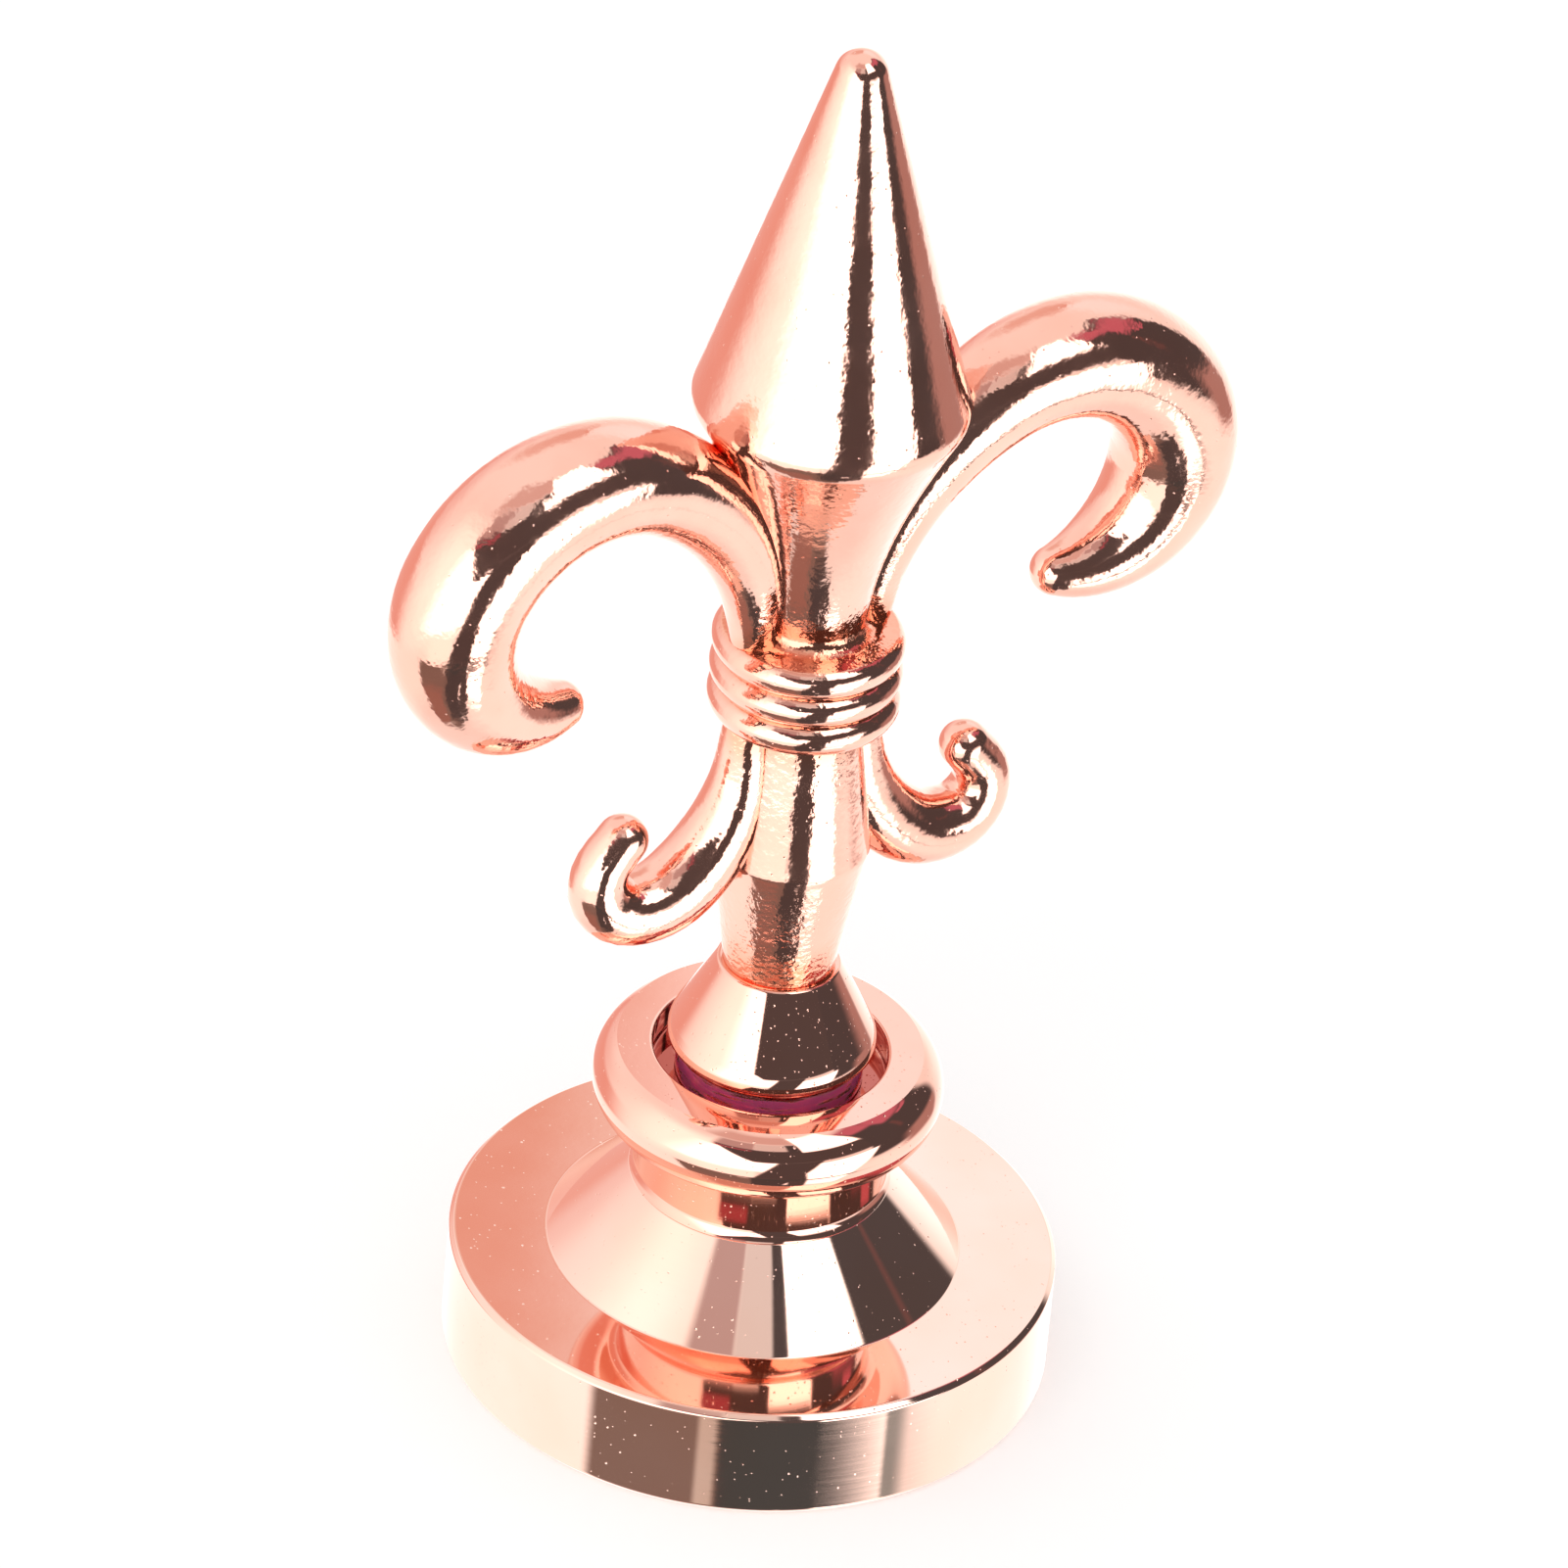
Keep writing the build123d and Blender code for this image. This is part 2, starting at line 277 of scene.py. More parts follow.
# The engraved face: a ring groove, eight leaf-shaped troughs and a middle dot, cut up into the disc.
groove_r = 10.8 * mm
groove_w = 0.7 * mm
groove_lean = 0.15 * mm
engrave_depth = 0.68 * mm
leaf_count = 8
leaf_l = 6.7 * mm
leaf_w = 2.6 * mm
leaf_mid_r = 6.15 * mm
leaf_points = 48
dot_r = 1.4 * mm
dot_points = 32
bowl_depth = 0.55 * mm
bowl_lean = math.radians(45)
bowl_cuts = 10


def in_face(edge):
    """True for an edge that lies in the face's plane."""
    return all(abs(vert.co.z) < weld for vert in edge.verts)


def on_rim(edge):
    """True for an open edge that lies in the face's plane."""
    return edge.is_boundary and in_face(edge)


def sink_bowl(piece, centre, reach):
    """Cuts one outline near a point of the face up into the disc, as a bowl with a round bottom."""
    def own(vert):
        return (vert.co - centre).length < reach and vert.co.angle(centre, 0) < math.pi / leaf_count

    select_edges(piece, lambda edge: on_rim(edge) and all(own(vert) for vert in edge.verts))
    width = 1
    depth = 0
    for cut in range(1, bowl_cuts):
        lean = bowl_lean * (1 - cut / bowl_cuts)
        narrower = math.sin(lean) / math.sin(bowl_lean)
        deeper = bowl_depth * (math.cos(lean) - math.cos(bowl_lean)) / (1 - math.cos(bowl_lean))
        bpy.ops.mesh.extrude_edges_move(TRANSFORM_OT_translate={"value": (0, 0, deeper - depth)})
        bpy.ops.transform.resize(value=(narrower / width, narrower / width, 1), center_override=centre)
        width = narrower
        depth = deeper
    bpy.ops.mesh.edge_face_add()


bpy.ops.object.mode_set(mode="EDIT")
for ring_r in (groove_r, groove_r - groove_w):
    bpy.ops.mesh.primitive_circle_add(vertices=turned_steps, radius=ring_r)
bpy.ops.mesh.primitive_circle_add(vertices=dot_points, radius=dot_r)
leaf_middles = []
for leaf in range(leaf_count):
    turn = math.tau * leaf / leaf_count
    middle = Vector((leaf_mid_r * math.cos(turn), leaf_mid_r * math.sin(turn), 0))
    leaf_middles.append(middle)
    bpy.ops.mesh.primitive_circle_add(vertices=leaf_points, radius=leaf_l / 2, location=middle)
    bpy.ops.transform.resize(value=(1, leaf_w / leaf_l, 1), center_override=middle)
    bpy.ops.transform.rotate(value=-turn, orient_axis="Z", center_override=middle)
select_edges(head, in_face)
bpy.ops.mesh.fill(use_beauty=True)
sink_bowl(head, Vector((0, 0, 0)), dot_r + weld)
for middle in leaf_middles:
    sink_bowl(head, middle, leaf_l / 2 + weld)
select_edges(head, on_rim)
bpy.ops.mesh.extrude_edges_move(TRANSFORM_OT_translate={"value": (0, 0, engrave_depth)})
for ring_r, lean in ((groove_r, -groove_lean), (groove_r - groove_w, groove_lean)):
    shrink = (ring_r + lean) / ring_r
    select_edges(head, lambda edge: all(
        abs(v.co.z - engrave_depth) < weld and abs(v.co.xy.length - ring_r) < weld * 10 for v in edge.verts))
    bpy.ops.transform.resize(value=(shrink, shrink, 1), center_override=(0, 0, engrave_depth))
select_edges(head, lambda edge: edge.is_boundary)
bpy.ops.mesh.bridge_edge_loops()
bpy.ops.mesh.select_all(action="SELECT")
bpy.ops.mesh.normals_make_consistent(inside=False)
select_edges(head, in_face)
bpy.ops.mesh.mark_sharp()
bpy.ops.object.mode_set(mode="OBJECT")
smooth(head)
head_plating = turned_plating("champagne_plating", champagne_rose, champagne_deep, head_dented)
head.data.materials.append(head_plating)
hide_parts("seal_head")
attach(head, "head")


# Threaded stud: a steel stud with an M6 thread below and a plain shank that is set in the foot and the stem.
# Its thread is rolled with a pitch of one millimetre and plated bright zinc.
stud_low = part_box("threaded_stud")[0].z
stud_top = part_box("threaded_stud")[1].z
thread_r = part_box("threaded_stud")[1].x
thread_top = 15.5 * mm
thread_end_break = 0.5 * mm
pitch = 1.0 * mm
thread_depth = 0.54 * mm
crest_flat = pitch / 8
root_flat = pitch / 4
shank_r = 1.5 * mm
stud_steps = 64
zinc = (0.62, 0.62, 0.63, 1)
zinc_deep = (0.52, 0.53, 0.55, 1)
zinc_tone_grain = 700
zinc_cloud_grain = 1500
zinc_clouds = (0.2, 0.38)
scuff_grain = 4000
scuff_depth = 0.002 * mm


def boolean(piece, other, operation):
    """Cuts a piece with another one, or joins them, and leaves the other where it is."""
    cut = piece.modifiers.new("cut", "BOOLEAN")
    cut.operation = operation
    cut.solver = "MANIFOLD"
    cut.object = other
    bpy.ops.object.select_all(action="DESELECT")
    piece.select_set(True)
    bpy.context.view_layer.objects.active = piece
    bpy.ops.object.modifier_apply(modifier=cut.name)


def bright_zinc(name):
    """Zinc plating on rolled steel: a dull shine with cloudy patches and fine scuffs."""
    material, tree, shader, coords = new_material(name)
    two_tone(tree, coords, shader, zinc, zinc_deep, zinc_tone_grain)
    clouds = span(tree, noise(tree, coords, zinc_cloud_grain, 3), mid_noise, zinc_clouds)
    tree.links.new(clouds, shader.inputs["Roughness"])
    scuffs = bump(tree, noise(tree, coords, scuff_grain), scuff_depth)
    tree.links.new(scuffs, shader.inputs["Normal"])
    return material


def draw_thread(name, low, turns):
    """One pitch of the thread's outline, drawn and carried round in a helix."""
    root_r = thread_r - thread_depth
    flank = (pitch - crest_flat - root_flat) / 2
    outline = [
        Vector((root_r, 0, low)),
        Vector((root_r, 0, low + root_flat / 2)),
        Vector((thread_r, 0, low + root_flat / 2 + flank)),
        Vector((thread_r, 0, low + root_flat / 2 + flank + crest_flat)),
        Vector((root_r, 0, low + pitch - root_flat / 2)),
        Vector((root_r, 0, low + pitch)),
    ]
    piece = draw_outline(name, outline)
    bpy.ops.object.mode_set(mode="OBJECT")
    helix = piece.modifiers.new("helix", "SCREW")
    helix.axis = "Z"
    helix.angle = math.tau
    helix.screw_offset = pitch
    helix.iterations = turns
    helix.steps = stud_steps
    helix.render_steps = stud_steps
    bpy.ops.object.modifier_apply(modifier=helix.name)
    return piece


helix_low = stud_low - 1.9 * pitch
stud = draw_thread("screw_stud", helix_low, math.ceil((thread_top - stud_low) / pitch) + 3)
bpy.ops.object.mode_set(mode="EDIT")
bpy.ops.mesh.select_all(action="SELECT")
bpy.ops.mesh.remove_doubles(threshold=weld * 10)
upward = (0, 0, 1)
below_thread = (0, 0, stud_low - pitch / 10)
bpy.ops.mesh.bisect(plane_co=below_thread, plane_no=upward, use_fill=True, clear_inner=True, threshold=weld)
bpy.ops.mesh.select_all(action="SELECT")
above_thread = (0, 0, thread_top + pitch / 10)
bpy.ops.mesh.bisect(plane_co=above_thread, plane_no=upward, use_fill=True, clear_outer=True, threshold=weld)
bpy.ops.mesh.select_all(action="SELECT")
bpy.ops.mesh.normals_make_consistent(inside=False)
bpy.ops.object.mode_set(mode="OBJECT")
clear = 0.2 * mm
blank = lathe("stud_blank", [Vector(point) for point in (
    (0, 0, stud_low),
    (thread_r - thread_end_break, 0, stud_low),
    (thread_r + clear, 0, stud_low + thread_end_break + clear),
    (thread_r + clear, 0, thread_top),
    (0, 0, thread_top),
)], stud_steps)
stud.data.materials.append(bright_zinc("bright_zinc"))
boolean(stud, blank, "INTERSECT")
bpy.data.objects.remove(blank)
shank = lathe("stud_shank", [Vector(point) for point in (
    (0, 0, thread_top - pitch),
    (shank_r, 0, thread_top - pitch),
    (shank_r, 0, stud_top),
    (0, 0, stud_top),
)], stud_steps)
boolean(stud, shank, "UNION")
bpy.data.objects.remove(shank)
bpy.ops.object.mode_set(mode="EDIT")
bpy.ops.mesh.select_all(action="SELECT")
bpy.ops.mesh.dissolve_degenerate(threshold=weld * 10)
bpy.ops.mesh.select_all(action="SELECT")
bpy.ops.mesh.remove_doubles(threshold=weld * 10)
bpy.ops.object.mode_set(mode="OBJECT")
smooth(stud)
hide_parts("threaded_stud")
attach(stud, "handle")


# Collar: a turned brass ring with a bulged edge over a short neck, plated rose gold.
# It slips over the stud, and a recess in its flat top takes the foot of the handle.
collar_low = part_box("collar")[0].z
collar_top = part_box("collar")[1].z
bulge_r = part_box("collar")[1].x
bulge_round = 1.85 * mm
bulge_drop = 1.6 * mm
neck_r = 5.15 * mm
neck_blend = 0.5 * mm
neck_flare = 0.75 * mm
edge_round = 0.1 * mm
recess_r = 4.82 * mm
recess_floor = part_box("foot_cone")[0].z
bore_r = 3.3 * mm
rose_gold = (0.95, 0.55, 0.44, 1)
rose_deep = (0.93, 0.5, 0.39, 1)
collar_dented = 0.3
# Painted shade in the recess: a dark red tint, how it fades below the top, and its streaks.
recess_painted_shade = (0.5, 0.13, 0.1, 1)
recess_shade_metal = 1
shade_fade = 0.25 * mm
shade_stretch = (0.12, 0.12, 1)
shade_grain = 6000


def arc(centre, radius, first, last, steps):
    """Points on an arc in the half outline's plane, between two angles in degrees."""
    points = []
    for step in range(steps + 1):
        angle = math.radians(first + (last - first) * step / steps)
        points.append(centre + radius * Vector((math.cos(angle), 0, math.sin(angle))))
    return points


def with_painted_shade(material, colour, metal, reach, top):
    """Turned plating with streaky painted shade and reflection, inside a distance from the axis and below a
    height.
    """
    tree = material.node_tree
    shader = tree.nodes["Principled BSDF"]
    coords = tree.nodes["Texture Coordinate"].outputs["Object"]
    from_axis, height = axis_place(tree, coords)
    low = combine(
        tree, "MULTIPLY",
        span(tree, from_axis, (reach, reach + edge_round), (1, 0)),
        span(tree, height, (top - shade_fade, top), (1, 0)),
    )
    streaks = tree.nodes.new("ShaderNodeVectorMath")
    streaks.operation = "MULTIPLY"
    streaks.inputs[1].default_value = shade_stretch
    tree.links.new(coords, streaks.inputs[0])
    wear_and_shade_patches = span(tree, noise(tree, streaks.outputs["Vector"], shade_grain), (0.36, 0.5), (0.3, 1))
    painted_shade_share = combine(tree, "MULTIPLY", low, wear_and_shade_patches)
    blend = tree.nodes.new("ShaderNodeMix")
    blend.data_type = "RGBA"
    blend.inputs["B"].default_value = colour
    tree.links.new(painted_shade_share, blend.inputs["Factor"])
    tree.links.new(shader.inputs["Base Color"].links[0].from_socket, blend.inputs["A"])
    tree.links.new(blend.outputs["Result"], shader.inputs["Base Color"])
    tree.links.new(span(tree, painted_shade_share, (0, 1), (1, metal)), shader.inputs["Metallic"])
    return material


bulge_mid = Vector((bulge_r - bulge_round, 0, collar_top - bulge_drop))
bulge_end = math.degrees(math.asin(bulge_drop / bulge_round))
blend_out = neck_r + neck_blend - bulge_mid.x
blend_down = math.sqrt((bulge_round + neck_blend) ** 2 - blend_out ** 2)
blend_mid = bulge_mid + Vector((blend_out, 0, -blend_down))
blend_end = math.degrees(math.atan2(blend_down, -blend_out))
flare_turn = math.atan2(cone_foot_r - lip_r, head_top - disc_top)
flare_mid = Vector((neck_r + neck_flare, 0, collar_low + neck_flare * math.sin(flare_turn)))
flare_end = 180 + math.degrees(flare_turn)
neck = arc(flare_mid, neck_flare, flare_end, 180, 8) + arc(blend_mid, neck_blend, 180, blend_end, 12)
bulge = arc(bulge_mid, bulge_round, blend_end - 180, bulge_end, 28)
top = rounded_outline([
    (bulge[-1].x, collar_top, 0),
    (recess_r, collar_top, edge_round),
    (recess_r, recess_floor, edge_round),
    (bore_r, recess_floor, 0),
    (bore_r, collar_low, 0),
])
collar = lathe("bulged_collar", [Vector((bore_r, 0, collar_low))] + neck + bulge[1:-1] + top)
smooth(collar)
collar_plating = turned_plating("rose_collar_plating", rose_gold, rose_deep, collar_dented)
# Painted shade: the recess and the bore below it, up to just under the collar's top, are tinted dark red for
# the dim reflections deep in the recess.
collar_plating = with_painted_shade(collar_plating, recess_painted_shade, recess_shade_metal, recess_r, collar_top)
collar.data.materials.append(collar_plating)
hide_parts("collar")
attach(collar, "collar")


# Foot cone: a turned bell that stands in the collar's recess and carries the stem.
# It is bored for the stud's thread below and for its shank above, and plated like the collar.
foot_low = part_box("foot_cone")[0].z
foot_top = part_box("foot_cone")[1].z
foot_base_r = 3.85 * mm
foot_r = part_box("foot_cone")[1].x
foot_rim_z = foot_low + 1.7 * mm
foot_undercut = 0.4 * mm
foot_side_z = foot_rim_z + 0.45 * mm
foot_rim_round = 0.15 * mm
foot_side_round = 1.45 * mm
foot_top_r = 2.5 * mm
foot_top_round = 0.15 * mm
foot_dented = 0.42
# Painted reflection and shade on the foot's base down in the recess: a crimson tint, only partly metal.
foot_painted_reflection = (0.82, 0.14, 0.36, 1)
foot_reflection_metal = 0.35
foot = lathe("bell_foot", rounded_outline([
    (thread_r, foot_low, 0),
    (foot_base_r, foot_low, edge_round),
    (foot_base_r, foot_rim_z - foot_undercut, edge_round),
    (foot_r, foot_rim_z, foot_rim_round),
    (foot_r, foot_side_z, foot_side_round),
    (foot_top_r, foot_top, foot_top_round),
    (shank_r, foot_top, 0),
    (shank_r, thread_top, 0),
    (thread_r, thread_top, 0),
], closed=True))
smooth(foot)
foot_plating = turned_plating("rose_foot_plating", rose_gold, rose_deep, foot_dented)
# Painted reflection and shade: the foot's base below its rim is tinted crimson for the reddish light bounced
# round the recess.
foot_plating = with_painted_shade(foot_plating, foot_painted_reflection, foot_reflection_metal, foot_base_r, foot_rim_z - foot_undercut)
foot.data.materials.append(foot_plating)
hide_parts("foot_cone")
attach(foot, "handle")


# Stem: a cast baluster, widest at a soft ridge, that stands on the foot and reaches into the band.
# Like the rest of the fleur it is cast zinc with rose-gold plating over a faint orange-peel skin.
stem_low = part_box("stem")[0].z
stem_core_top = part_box("stem")[1].z
band_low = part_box("binding_band")[0].z
band_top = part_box("binding_band")[1].z
band_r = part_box("binding_band")[1].x
stem_foot_r = 2.28 * mm
stem_ridge_r = 3.25 * mm
stem_ridge_z = stem_low + 5.85 * mm
stem_ridge_round = 0.7 * mm
stem_top_r = 2.35 * mm
socket_top = stem_low + 5.5 * mm
core_r = 1.5 * mm
cast_rose = (0.95, 0.55, 0.44, 1)
cast_rose_deep = (0.93, 0.5, 0.39, 1)
# Painted shade: a darker, coppery tint for the corners round the band and the stem's foot.
corner_painted_shade = (0.88, 0.4, 0.27, 1)
cast_tone_grain = 220
pin_hole_grain = 2600
pin_hole_width = 0.14
pin_hole_share = 0.35
cast_haze_grain = 700
cast_haze = (0.05, 0.12)
patch_grain = 350
peel_grain = 1300
peel_depth = 0.022 * mm
fine_peel_grain = 4200
fine_peel_depth = 0.006 * mm
skin_grain = 3600
skin_depth = 0.04 * mm


def cast_corners(tree, coords, near, far):
    """1 in the corners round the band, falling to 0 between two distances from it; it marks both the rougher
    skin that polishing misses there and a coppery painted shade.
    """
    from_axis, height = axis_place(tree, coords)
    above = span(tree, height, (band_top + near, band_top + far), (1, 0))
    below = span(tree, height, (band_low - far, band_low - near), (0, 1))
    inner = span(tree, from_axis, (band_r - 0.45 * mm, band_r - 0.15 * mm), (1, 0))
    return combine(tree, "MULTIPLY", combine(tree, "MULTIPLY", above, below), inner)


def stem_foot(tree, coords, near, far):
    """1 at the foot of the stem, falling to 0 between two heights above it."""
    from_axis, height = axis_place(tree, coords)
    low = span(tree, height, (stem_low + near, stem_low + far), (1, 0))
    inner = span(tree, from_axis, (stem_ridge_r, stem_ridge_r + 0.3 * mm), (1, 0))
    return combine(tree, "MULTIPLY", low, inner)


def cast_plating(name):
    """Rose-gold plating on cast zinc: an orange-peel skin with pin holes and rough corners, with coppery
    painted shade in the corners round the band and at the stem's foot.
    """
    material, tree, shader, coords = new_material(name)
    two_tone(tree, coords, shader, cast_rose, cast_rose_deep, cast_tone_grain)
    blend = tree.nodes.new("ShaderNodeMix")
    blend.data_type = "RGBA"
    blend.inputs["B"].default_value = corner_painted_shade
    tree.links.new(shader.inputs["Base Color"].links[0].from_socket, blend.inputs["A"])
    # Painted shade: the corners round the band and the stem's foot are tinted coppery for shade and orange
    # light bounced between the parts.
    corner_shade_share = combine(
        tree, "MAXIMUM",
        cast_corners(tree, coords, 0.3 * mm, 1.8 * mm),
        stem_foot(tree, coords, 0.6 * mm, 2.6 * mm),
    )
    tree.links.new(corner_shade_share, blend.inputs["Factor"])
    tree.links.new(blend.outputs["Result"], shader.inputs["Base Color"])
    holes = pits(tree, coords, pin_hole_grain, pin_hole_width, pin_hole_share)
    haze = span(tree, noise(tree, coords, cast_haze_grain, 4), mid_noise, cast_haze)
    wear_and_shade_patches = combine(tree, "MULTIPLY", holes, dent_dulling)
    tree.links.new(combine(tree, "ADD", haze, wear_and_shade_patches), shader.inputs["Roughness"])
    patches = span(tree, noise(tree, coords, patch_grain), (0.42, 0.58), (0.5, 1))
    rough = combine(
        tree, "MAXIMUM",
        cast_corners(tree, coords, 1.5 * mm, 6 * mm),
        stem_foot(tree, coords, 4.4 * mm, 5.8 * mm),
    )
    skin = combine(tree, "MULTIPLY", rough, patches)
    relief = bump(tree, noise(tree, coords, peel_grain), peel_depth)
    relief = bump(tree, noise(tree, coords, fine_peel_grain, 1), fine_peel_depth, relief)
    relief = bump(tree, combine(tree, "MULTIPLY", noise(tree, coords, skin_grain), skin), skin_depth, relief)
    relief = bump(tree, holes, -dent_depth, relief)
    tree.links.new(relief, shader.inputs["Normal"])
    return material


stem = lathe("baluster_stem", rounded_outline([
    (0, socket_top, 0),
    (shank_r, socket_top, 0),
    (shank_r, stem_low, 0),
    (stem_foot_r, stem_low, edge_round),
    (stem_ridge_r, stem_ridge_z, stem_ridge_round),
    (stem_top_r, band_low, 0),
    (core_r, band_low, 0),
    (core_r, stem_core_top, 0),
    (0, stem_core_top, 0),
]))
smooth(stem)
cast_rose_plating = cast_plating("rose_cast_plating")
stem.data.materials.append(cast_rose_plating)
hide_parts("stem")
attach(stem, "handle")


# Binding band: a cast ring of three beads that ties the petals, the curls and the stem together.
# The beads are half-round ribs with a narrow valley between them.
bead_count = 3
bead_round = 0.75 * mm
bead_pitch = (band_top - band_low) / bead_count
bead_mid_r = band_r - bead_round
bead_end = math.degrees(math.asin(bead_pitch / 2 / bead_round))
beads = []
for bead in range(bead_count):
    bead_mid = Vector((bead_mid_r, 0, band_low + bead_pitch * (bead + 0.5)))
    beads += arc(bead_mid, bead_round, -bead_end, bead_end, 16)
band_inside = [Vector((core_r, 0, band_top)), Vector((core_r, 0, band_low)), beads[0]]
band = lathe("beaded_band", beads + band_inside)
smooth(band, 40)
band.data.materials.append(cast_rose_plating)
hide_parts("binding_band")
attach(band, "handle")


# Centre petal: a cast spear with a rounded rim and tip, on a neck that flares out of the band.
# A core below the neck runs into the band.
core_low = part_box("centre_petal")[0].z
tip_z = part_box("centre_petal")[1].z
petal_neck_r = 2.25 * mm
flare_start_z = band_top + 2.9 * mm
flare_pull = Vector((3.42 * mm, 0, band_top + 6.35 * mm))
rim_r = 5.65 * mm
rim_z = band_top + 10.55 * mm
spear_rim_round = 1.2 * mm
tip_round = 1.1 * mm
flare_steps = 18
neck_fillet = 0.6 * mm
cone_drop = tip_z - tip_round - rim_z
cone_lean = math.atan2(rim_r, cone_drop) - math.asin(tip_round / math.hypot(rim_r, cone_drop))
tip_arc = arc(Vector((0, 0, tip_z - tip_round)), tip_round, math.degrees(cone_lean), 90, 16)
tip_arc[-1].x = 0


def flare_point(share):
    """A point on the flare, a curve from the neck to the rim with two pulls."""
    rest = 1 - share
    return (
        rest ** 3 * Vector((petal_neck_r, 0, band_top))
        + 3 * rest ** 2 * share * Vector((petal_neck_r, 0, flare_start_z))
        + 3 * rest * share ** 2 * flare_pull
        + share ** 3 * Vector((rim_r, 0, rim_z))
    )


fillet_mid = Vector((petal_neck_r + neck_fillet, 0, band_top + neck_fillet))
flare = arc(fillet_mid, neck_fillet, 270, 180, 8)
for step in range(flare_steps):
    point = flare_point(step / flare_steps)
    if point.z > band_top + neck_fillet:
        flare.append(point)
spear = rounded_outline(
    [(0, core_low, 0), (core_r, core_low, 0), (core_r, band_top, 0)]
    + [(point.x, point.z, 0) for point in flare]
    + [(rim_r, rim_z, spear_rim_round), (tip_arc[0].x, tip_arc[0].z, 0)]
)
centre = lathe("spear_petal", spear + tip_arc[1:])
smooth(centre)
centre.data.materials.append(cast_rose_plating)
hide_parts("centre_petal")
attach(centre, "handle")


# Side petals: cast bars that rise from the band beside the spear, bend over and curl in at the tip.
# Each is thickest at its outer bend and is shaped against the spear where the two meet.
side_x = 2.6 * mm
petal_runs = [(10.2 * mm, 60), (6.15 * mm, 95), (4.75 * mm, 124)]
petal_root_r = 1.05 * mm
petal_belly_r = 2.68 * mm
petal_tip_r = 1.0 * mm
petal_belly_at = 0.64
petal_fall = (2.5, 1)
bar_sides = 48
bar_step = 0.4 * mm
web_grain = 0.15 * mm
web_rounds = 36
web_draw_in = 0.02 * mm


def bar_radius(share, root, belly, tip, belly_at, fall):
    """Radius at a share of a bar's length: it swells to the belly, then falls to the tip."""
    if share < belly_at:
        return root + (belly - root) * math.sin(math.pi / 2 * share / belly_at)
    past = (share - belly_at) / (1 - belly_at)
    return tip + (belly - tip) * (1 - past ** fall[0]) ** fall[1]


def run_length(size, turn):
    """Length of an arc with a radius and a turn in degrees, or of a straight run with no turn."""
    return size * math.radians(turn) if turn else size


def bent_bar(name, start, heading, runs, side, *sizes):
    """A bar drawn out ring by ring: each ring is extruded, carried round the bend and resized."""
    total = sum(run_length(*run) for run in runs)
    radius = bar_radius(0, *sizes)
    bpy.ops.object.select_all(action="DESELECT")
    bpy.ops.mesh.primitive_circle_add(vertices=bar_sides, radius=radius, fill_type="NGON")
    piece = bpy.context.object
    piece.name = name
    bpy.ops.object.mode_set(mode="EDIT")
    bpy.ops.mesh.select_all(action="SELECT")
    bpy.ops.transform.translate(value=start)
    bpy.ops.mesh.select_mode(type="EDGE")
    spot = start.copy()
    ahead = heading.copy()
    travelled = 0
    for size, turn in runs:
        length = run_length(size, turn)
        steps = round(length / bar_step)
        bend = side * math.radians(turn) / steps
        pivot = spot + size * side * Vector((ahead.z, 0, -ahead.x))
        for _ in range(steps):
            bpy.ops.mesh.extrude_region_move()
            if turn:
                bpy.ops.transform.rotate(value=-bend, orient_axis="Y", center_override=pivot)
                round_pivot = Matrix.Rotation(bend, 3, "Y")
                spot = pivot + round_pivot @ (spot - pivot)
                ahead = round_pivot @ ahead
            else:
                bpy.ops.transform.translate(value=ahead * length / steps)
                spot = spot + ahead * length / steps
            travelled += length / steps
            wanted = bar_radius(min(travelled / total, 1), *sizes)
            bpy.ops.transform.resize(value=(wanted / radius,) * 3, center_override=spot)
            radius = wanted
    near_end = 0.999
    slope = math.atan((bar_radius(near_end, *sizes) - radius) / ((1 - near_end) * total))
    ball_r = radius / math.cos(slope)
    ball_steps = 8
    reach = ball_r * math.sin(slope)
    for step in range(1, ball_steps):
        angle = slope + (math.pi / 2 - slope) * step / ball_steps
        onward = ahead * (ball_r * math.sin(angle) - reach)
        reach = ball_r * math.sin(angle)
        spot = spot + onward
        wanted = ball_r * math.cos(angle)
        bpy.ops.mesh.extrude_region_move(TRANSFORM_OT_translate={"value": onward})
        bpy.ops.transform.resize(value=(wanted / radius,) * 3, center_override=spot)
        radius = wanted
    bpy.ops.mesh.extrude_region_move(TRANSFORM_OT_translate={"value": ahead * (ball_r - reach)})
    bpy.ops.mesh.merge(type="CENTER")
    bpy.ops.mesh.select_all(action="SELECT")
    bpy.ops.mesh.normals_make_consistent(inside=False)
    bpy.ops.object.mode_set(mode="OBJECT")
    return piece


